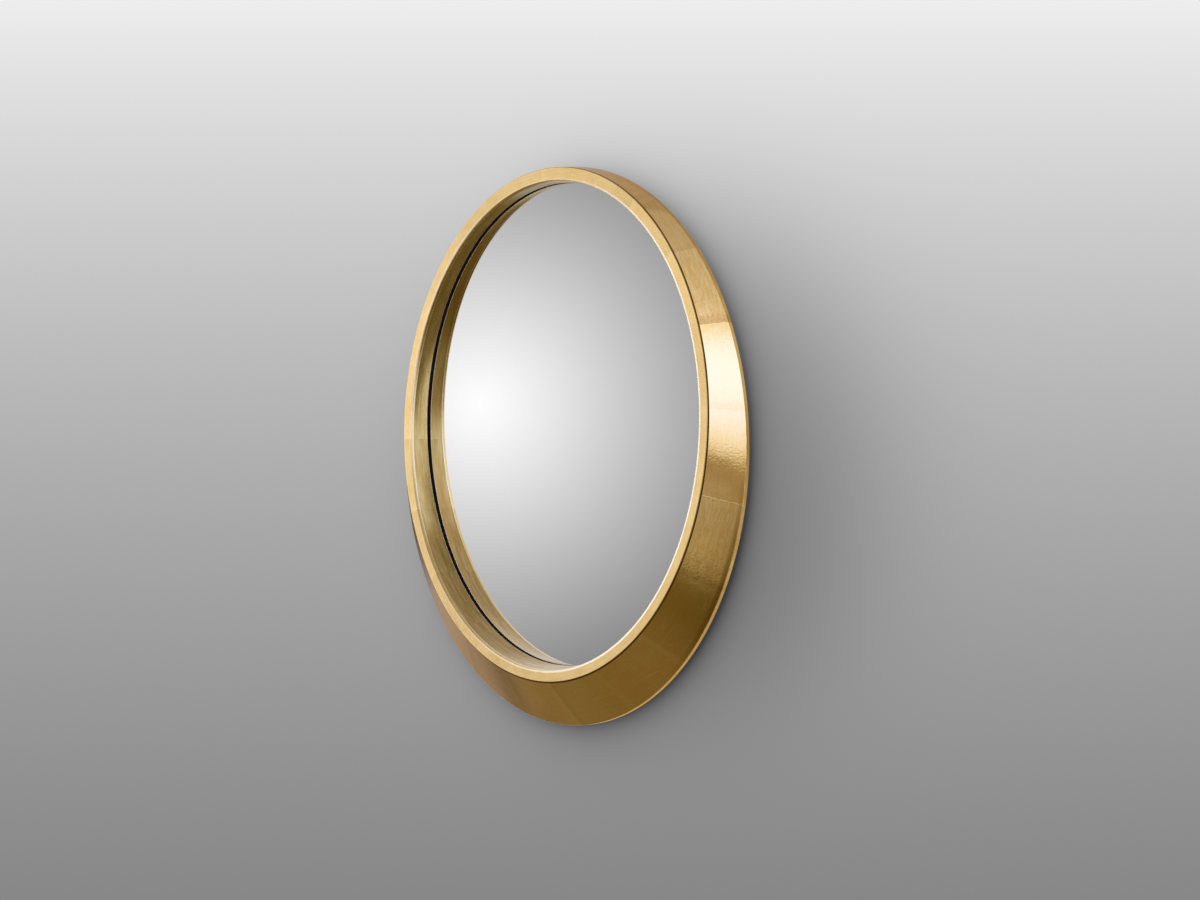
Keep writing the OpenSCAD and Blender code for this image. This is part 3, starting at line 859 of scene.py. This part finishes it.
# Zinc plate: rolling marks, soft crystal patches, and a faint bluish or yellow cast. Each kind has
# the factors that draw its marks out, and its roughness.
zinc = {
    "hanger plates": ((900.0, 900.0, 30.0), 0.30), "screws": ((300.0, 300.0, 300.0), 0.26),
    "turn buttons": ((260.0, 260.0, 260.0), 0.32),
    "casts": (38.0, 3.0), "bluish": (0.60, 0.62, 0.66), "yellowish": (0.70, 0.68, 0.61),
    "dulls": (90.0, 4.0, 0.65), "dullSpan": (0.52, 0.68), "dullShare": 0.4, "dull": (0.42, 0.42, 0.42),
    "grain": (4.0, 0.6), "markShare": 0.25, "mark": (0.82, 0.83, 0.85), "patches": 420.0,
    "markRough": 0.12, "dullRough": 0.18, "patchRough": 0.08,
    "markBump": 0.6, "patchBump": 0.4, "bump": 0.00004,
}


def zincSteel(kind):
    s = zinc
    factors, smoothest = s[kind]
    material, p = newMaterial("zinc " + kind)
    place = p.objectPlace()
    mark = p.stretched(place, factors, *s["grain"])
    patch = p.add("TexVoronoi", {}, {"Vector": place, "Scale": s["patches"]})
    dull = p.smooth(p.noise(place, *s["dulls"]), *s["dullSpan"])
    colour = p.blend(p.noise(place, *s["casts"]), s["bluish"], s["yellowish"])
    colour = p.blend(dull * s["dullShare"], colour, s["dull"])
    colour = p.blend(mark * s["markShare"], colour, s["mark"])
    rough = mark * s["markRough"] + dull * s["dullRough"] + patch * s["patchRough"] + smoothest
    height = mark * s["markBump"] + patch * s["patchBump"]
    p.finish({"Base Color": colour, "Metallic": 1.0, "Roughness": rough, "Normal": p.bump(height, s["bump"])})
    return material


# Pressed cork: packed granules of several browns
granules = {
    "scale": 700.0, "deep": (0.36, 0.22, 0.11), "light": (0.66, 0.47, 0.28),
    "gap": (0.12, 0.065, 0.03), "gapWidth": 0.06, "gapShare": 0.7,
    "rough": 0.85, "granuleRough": 0.1, "bump": 0.0003,
}


def cork():
    s = granules
    material, p = newMaterial("pressed cork")
    cells = {"Vector": p.objectPlace(), "Scale": s["scale"]}
    shade = p.split(p.add("TexVoronoi", {}, cells, out="Color"))[0]
    edge = p.add("TexVoronoi", {"feature": "DISTANCE_TO_EDGE"}, cells)
    gap = 1 - p.smooth(edge, 0.0, s["gapWidth"])
    colour = p.blend(gap * s["gapShare"], p.blend(shade, s["deep"], s["light"]), s["gap"])
    rough = s["rough"] + shade * s["granuleRough"]
    p.finish({"Base Color": colour, "Roughness": rough, "Normal": p.bump(edge, s["bump"])})
    return material


# Wool felt: tangled fibres with lighter hairs
wool = {
    "tangles": (1600.0, 5.0, 0.7, 2.5), "deep": (0.012, 0.012, 0.013), "light": (0.060, 0.060, 0.063),
    "hairs": (900.0, 4.0, 0.6, 4.0), "hairSpan": (0.60, 0.66), "hairShare": 0.4, "hair": (0.17, 0.17, 0.17),
    "pills": (240.0, 3.0), "rough": 0.92, "pillRough": 0.08, "sheen": 0.35, "sheenRough": 0.5,
    "tangleBump": 0.6, "hairBump": 0.3, "bump": 0.0004,
}


def felt():
    s = wool
    material, p = newMaterial("grey wool felt")
    place = p.objectPlace()
    tangle, pill = p.noise(place, *s["tangles"]), p.noise(place, *s["pills"])
    hair = p.smooth(p.noise(place, *s["hairs"]), *s["hairSpan"])
    colour = p.blend(hair * s["hairShare"], p.blend(tangle, s["deep"], s["light"]), s["hair"])
    height = tangle * s["tangleBump"] + hair * s["hairBump"] + pill
    p.finish({"Base Color": colour, "Roughness": s["rough"] + pill * s["pillRough"],
              "Sheen Weight": s["sheen"], "Sheen Roughness": s["sheenRough"],
              "Normal": p.bump(height, s["bump"])})
    return material


def dressNodes():
    plates, screws, buttons = (zincSteel(kind) for kind in ("hanger plates", "screws", "turn buttons"))
    screwNodes = ("turn_button_screws", "hanger_screws", "rim_screws", "body_screws")
    finishes = {"back_ring": plywood(), "backing_board": hardboard(), "glass_spacers": cork(),
                "wall_bumpers": felt(), "hanger_plate_left": plates, "hanger_plate_right": plates}
    finishes.update({name: screws for name in screwNodes})
    finishes.update({"turn_button_%d" % number: buttons for number in range(1, 9)})
    for name, material in finishes.items():
        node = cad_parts[name]
        if not node.material_slots:
            node.data.materials.append(material)
        for slot in node.material_slots:
            slot.material = material
    print("kept nodes finished")


# Camera

camera = {
    "azimuth": 53.66, "elevation": 0.26, "distance": 4.1925, "target": (0.0, 0.0, -0.160),
    "yaw": 0.72, "pitch": 0.08, "lens": 84.0, "sensor": 36.0,
    "heightShare": 0.75,   # the picture's height over its width
}


def makeCamera():
    s = camera
    a, e = math.radians(s["azimuth"]), math.radians(s["elevation"])
    back = np.array([math.sin(a) * math.cos(e), -math.cos(a) * math.cos(e), math.sin(e)])
    right = np.array([math.cos(a), math.sin(a), 0.0])
    upward = np.cross(right, -back)
    yaw, pitch = math.radians(s["yaw"]), math.radians(s["pitch"])
    aboutUp = np.array([[math.cos(yaw), 0, math.sin(yaw)],
                        [0, 1, 0],
                        [-math.sin(yaw), 0, math.cos(yaw)]])
    aboutRight = np.array([[1, 0, 0],
                           [0, math.cos(pitch), -math.sin(pitch)],
                           [0, math.sin(pitch), math.cos(pitch)]])
    axes = (aboutRight @ aboutUp @ np.array([right, upward, back])).T
    data = bpy.data.cameras.new("camera")
    data.lens = s["lens"]
    data.sensor_width = s["sensor"]
    data.sensor_fit = "HORIZONTAL"
    seen = bpy.data.objects.new("camera", data)
    bpy.context.scene.collection.objects.link(seen)
    place = Matrix.Identity(4)
    for row in range(3):
        for column in range(3):
            place[row][column] = axes[row][column]
        place[row][3] = s["target"][row] + back[row] * s["distance"]
    seen.matrix_world = place
    bpy.context.scene.camera = seen
    print("camera placed")


# Studio

wall = {
    "y": 0.0042, "left": -9.0, "right": 9.0, "foot": -1.55, "top": 3.2,
    "hole": 0.97,          # the wall is open behind the mirror, so that light gets to its back
    # The wall's tone is the exponential of start + fall * band + bend * band squared. The band is
    # level at the camera's own height, nought at its highest and lowest at its last.
    "start": -0.145, "fall": -1.42, "bend": 0.165, "level": 0.4925, "lowest": 1.4,
    # Shadows: a wide one cast to the right, and a close one round the frame. Half is the frame's
    # half size, which makes a length of a share of an ellipse.
    "half": 0.42,
    "cast": {"x": 0.18, "z": -0.18, "width": 0.24, "height": 0.172, "fade": 0.51, "power": 2.25,
             "share": 0.45},
    "close": {"share": 0.78, "power": 1.16, "fade": 0.0205, "towards": 2.1},
    "plaster": (700.0, 3.0), "plasterDepth": 0.012,
    # What the gold sees of the wall, from low to high: left of the mirror, and right of it
    "seenFoot": -0.9, "seenHeight": 1.2,
    "leftSeen": [(0.0, (0.24, 0.20, 0.17)), (0.28, (0.34, 0.28, 0.23)), (0.35, (0.40, 0.33, 0.27)),
                 (0.41, (0.40, 0.34, 0.29)), (0.455, (0.25, 0.205, 0.20)), (0.50, (0.12, 0.09, 0.08)),
                 (0.58, (0.24, 0.20, 0.18)), (1.0, (0.45, 0.41, 0.38))],
    "rightSeen": [(0.27, (0.70, 0.50, 0.20)), (0.37, (0.63, 0.56, 0.33)), (0.47, (0.58, 0.53, 0.39)),
                  (0.56, (0.46, 0.42, 0.35)), (0.62, (0.39, 0.30, 0.16)), (0.68, (0.53, 0.41, 0.18)),
                  (0.79, (0.54, 0.46, 0.27)), (0.92, (0.38, 0.29, 0.20)), (0.97, (0.45, 0.40, 0.36))],
}
floor = {
    "z": -1.55, "half": 7.0, "patches": (3.0, 4.0, 0.6), "light": (0.72, 0.72, 0.71),
    "dark": (0.69, 0.69, 0.68), "rough": 0.9, "specular": 0.1,
}


def stagePlane(name, corners, material):
    mesh = bpy.data.meshes.new(name)
    mesh.from_pydata(corners, [], [(0, 1, 2, 3)])
    made = bpy.data.objects.new(name, mesh)
    bpy.context.scene.collection.objects.link(made)
    mesh.materials.append(material)


# How far outside an ellipse a point of the wall lies, as a share of the ellipse's size
def beyond(across, up):
    return ((across * across + up * up).root() - 1).most(0.0)


# The wall's tones run in level bands across the view, so its paint is a fan: the band is the
# height over the distance, both from a fixed point in the room.
def wallPaint():
    s = wall
    material, p = newMaterial("painted wall")
    place = p.objectPlace()
    x, _, z = p.split(place)
    a = math.radians(camera["azimuth"])
    away = camera["distance"] + s["y"] * math.cos(a) - x * math.sin(a)
    height = z - camera["target"][2] - camera["distance"] * math.sin(math.radians(camera["elevation"]))
    magnified = camera["lens"] / (camera["sensor"] * camera["heightShare"])
    band = (s["level"] - height / away * magnified).most(0.0).least(s["lowest"])
    tone = (band * (band * s["bend"] + s["fall"]) + s["start"]).exp()
    c, n = s["cast"], s["close"]
    castOff = beyond((x - c["x"]) / c["width"], (z - c["z"]) / c["height"]) * s["half"]
    cast = c["share"] * (-((castOff / c["fade"]) ** c["power"])).exp()
    up = z - shape["outlineZ"]
    closeOff = beyond(x / shape["halfWidth"], up / shape["halfHeight"]) * s["half"]
    facing = (x.angleTo(up) - n["towards"]).cosine() * 0.5 + 0.5
    close = n["share"] * facing ** n["power"] * (-(closeOff / n["fade"])).exp()
    plaster = (p.noise(place, *s["plaster"]) - 0.5) * s["plasterDepth"] + 1
    grey = tone * (1 - cast) * (1 - close) * plaster
    look = p.add("Emission", {}, {"Color": p.point(grey, grey, grey), "Strength": 1.0})
    share = (z - s["seenFoot"]) / s["seenHeight"]
    seenColour = p.blend(x.above(0.0), p.ramp(share, s["leftSeen"]), p.ramp(share, s["rightSeen"]))
    seen = p.add("Emission", {}, {"Color": seenColour, "Strength": 1.0})
    both = p.add("MixShader", {}, {0: p.add("LightPath", out="Is Glossy Ray"), 1: look, 2: seen})
    holeWidth, holeHeight = shape["halfWidth"] * s["hole"], shape["halfHeight"] * s["hole"]
    inside = 1 - beyond(x / holeWidth, up / holeHeight).above(0.0)
    clear = p.add("NewGeometry", out="Backfacing").most(inside)
    p.add("OutputMaterial", {}, {0: p.add("MixShader", {}, {0: clear, 1: both, 2: p.add("BsdfTransparent")})})
    return material


def floorPaint():
    material, p = newMaterial("pale floor")
    colour = p.blend(p.noise(p.objectPlace(), *floor["patches"]), floor["light"], floor["dark"])
    lit = p.add("BsdfPrincipled", {}, {"Base Color": colour, "Roughness": floor["rough"],
                                       "Specular IOR Level": floor["specular"]})
    glossy, clear = p.add("LightPath", out="Is Glossy Ray"), p.add("BsdfTransparent")
    p.add("OutputMaterial", {}, {0: p.add("MixShader", {}, {0: glossy, 1: lit, 2: clear})})
    return material


def makeStage():
    s, half = wall, floor["half"]
    stagePlane("wall", [(s["left"], s["y"], s["foot"]), (s["right"], s["y"], s["foot"]),
                        (s["right"], s["y"], s["top"]), (s["left"], s["y"], s["top"])], wallPaint())
    stagePlane("floor", [(-half, -half, floor["z"]), (half, -half, floor["z"]), (half, half, floor["z"]),
                         (-half, half, floor["z"])], floorPaint())
    print("wall and floor made")


# The room that metal and glass see, as light over height: elevation in degrees, then the colour.
# Azimuth is in degrees to the left of straight out of the wall.
room = {
    "front": [(-90, (0.28, 0.24, 0.12)), (-60, (0.26, 0.23, 0.12)), (-43, (0.200, 0.155, 0.055)),
              (-35, (0.170, 0.135, 0.038)), (-31, (0.18, 0.15, 0.05)), (-28, (0.29, 0.26, 0.155)),
              (-24, (0.46, 0.43, 0.32)), (-18, (0.40, 0.375, 0.29)), (-13, (0.46, 0.44, 0.38)),
              (-8.5, (0.35, 0.30, 0.22)), (-4.8, (0.37, 0.33, 0.24)), (-3.2, (0.75, 0.76, 0.70)),
              (-2.2, (1.02, 1.10, 1.2)), (-0.8, (1.08, 1.16, 1.4)), (2.4, (1.10, 1.24, 1.7)),
              (5, (1.12, 1.30, 1.9)), (7.5, (1.12, 1.24, 1.6)), (21, (1.12, 1.22, 1.5)),
              (27, (1.06, 1.12, 1.3)), (33, (0.92, 0.92, 1.0)), (38, (0.78, 0.78, 0.80)),
              (43, (0.75, 0.75, 0.74)), (50, (0.70, 0.69, 0.67)), (58, (0.65, 0.64, 0.63)),
              (66, (0.60, 0.60, 0.61)), (74, (0.56, 0.55, 0.55)), (90, (0.52, 0.51, 0.50))],
    "left": [(-90, (0.28, 0.25, 0.13)), (-60, (0.26, 0.23, 0.12)), (-43, (0.225, 0.18, 0.08)),
             (-38, (0.255, 0.21, 0.11)), (-33, (0.235, 0.19, 0.10)), (-28, (0.30, 0.25, 0.16)),
             (-22, (0.36, 0.32, 0.26)), (-14, (0.8, 0.8, 0.8)), (-6, (1.0, 1.0, 1.0)),
             (20, (1.0, 1.0, 1.0)), (32, (0.95, 0.95, 0.95)), (48, (0.68, 0.68, 0.68)),
             (90, (0.52, 0.51, 0.50))],
    "right": [(-90, (0.27, 0.26, 0.14)), (-50, (0.25, 0.23, 0.15)), (-36, (0.26, 0.24, 0.16)),
              (-24, (0.38, 0.37, 0.28)), (-18, (0.62, 0.65, 0.60)), (-13, (1.20, 1.42, 1.8)),
              (5, (1.45, 1.70, 2.3)), (26, (1.40, 1.62, 2.1)), (33, (0.72, 0.74, 0.70)),
              (42, (0.36, 0.35, 0.30)), (50, (0.34, 0.33, 0.28)), (60, (0.48, 0.48, 0.42)),
              (90, (0.52, 0.51, 0.50))],
    "rear": [(-90, (0.30, 0.29, 0.27)), (-20, (0.35, 0.34, 0.32)), (-4, (0.60, 0.60, 0.60)),
             (6, (1.0, 1.0, 1.0)), (30, (1.0, 1.0, 1.0)), (50, (0.6, 0.6, 0.6)), (90, (0.5, 0.5, 0.5))],
    "slant": 28.0, "slantAcross": (-77.0, -66.0), "dim": 0.5, "dimAcross": (80.0, 92.0),
    "leftFrom": (10.0, 28.0), "rightFrom": (38.0, 54.0), "rearFrom": (118.0, 135.0),
    # The strip and the glow beside the window that the glass shows
    "strip": {"azimuth": (61.0, 66.0, 80.0, 85.0), "elevation": (-17.0, -11.0, 11.0, 17.0),
              "light": (2.4, 2.4, 2.4)},
    # The window that the glass shows: its middle, its fall from the middle and where it ends
    "window": {"azimuth": 55.4, "elevation": 0.6, "squeeze": 1.02, "fade": 5.155, "power": 1.3,
               "light": 1.047, "least": -0.063, "climb": 0.002, "silver": 0.95,
               "across": (48.3, 50.3, 57.0, 59.5), "upright": (-7.5, -5.8, 5.8, 7.5)},
    "ambient": (0.86, 0.86, 0.86),
    "background": [(-90, (0.62, 0.62, 0.62)), (0, (0.72, 0.72, 0.72)), (90, (0.86, 0.86, 0.86))],
}


def overHeight(p, elevation, stops):
    return p.ramp((elevation + 90) / 180, [((degrees + 90) / 180, colour) for degrees, colour in stops])


def makeRoom():
    s = room
    world = bpy.data.worlds.new("studio")
    bpy.context.scene.world = world
    world.cycles.sampling_method = "NONE"
    p = Paint(world)
    x, y, z = p.split(p.add("TexCoord", out="Generated"))
    azimuth = (-x).angleTo(-y) * (180 / math.pi)
    elevation = z.arcSine() * (180 / math.pi)
    seen = overHeight(p, elevation, s["front"])
    seen = p.blend(p.smooth(azimuth, *s["leftFrom"]), seen, overHeight(p, elevation, s["left"]))
    slanted = elevation - (p.smooth(azimuth, *s["slantAcross"]) - 0.5) * s["slant"]
    seen = p.blend(p.smooth(-azimuth, *s["rightFrom"]), seen, overHeight(p, slanted, s["right"]))
    dimmed = p.smooth(azimuth, *s["dimAcross"]) * s["dim"]
    seen = p.blend(dimmed, seen, (0.0, 0.0, 0.0))
    seen = p.blend(p.smooth(abs(azimuth), *s["rearFrom"]), seen, overHeight(p, elevation, s["rear"]))
    strip = p.within(azimuth, s["strip"]["azimuth"]) * p.within(elevation, s["strip"]["elevation"])
    seen = p.blend(strip, seen, s["strip"]["light"])
    w = s["window"]
    aside, over = (azimuth - w["azimuth"]) / w["squeeze"], elevation - w["elevation"]
    off = (aside * aside + over * over).root() / w["fade"]
    grey = ((-(off ** w["power"])).exp() * w["light"] + elevation * w["climb"] + w["least"]) / w["silver"]
    inWindow = p.within(azimuth, w["across"]) * p.within(elevation, w["upright"])
    seen = p.blend(inWindow, seen, p.point(grey, grey, grey))
    colour = p.blend(p.add("LightPath", out="Is Glossy Ray"), s["ambient"], seen)
    background = overHeight(p, elevation, s["background"])
    colour = p.blend(p.add("LightPath", out="Is Camera Ray"), colour, background)
    p.add("OutputWorld", {}, {0: p.add("Background", {}, {"Color": colour, "Strength": 1.0})})
    print("room made")


lamps = [
    {"name": "key_lamp", "place": (-1.6, -2.2, 1.3), "size": 1.6, "power": 18.0},
    {"name": "rear_lamp", "place": (-1.2, 2.4, 1.1), "size": 1.6, "power": 22.0},
]


def makeLamps():
    for s in lamps:
        data = bpy.data.lights.new(s["name"], "AREA")
        data.size = s["size"]
        data.energy = s["power"]
        lamp = bpy.data.objects.new(s["name"], data)
        bpy.context.scene.collection.objects.link(lamp)
        away = Vector(s["place"]) - Vector((0.0, 0.0, shape["outlineZ"]))
        turned = away.to_track_quat("Z", "Y").to_matrix().to_4x4()
        lamp.matrix_world = Matrix.Translation(s["place"]) @ turned
        lamp.visible_glossy = False
        lamp.visible_camera = False
    print("lamps made")


makeCamera()
makeBevelBody()
makeRimHoop()
makeGlass()
makeTape()
dressNodes()
makeStage()
makeRoom()
makeLamps()
bpy.context.scene.view_settings.view_transform = "Standard"
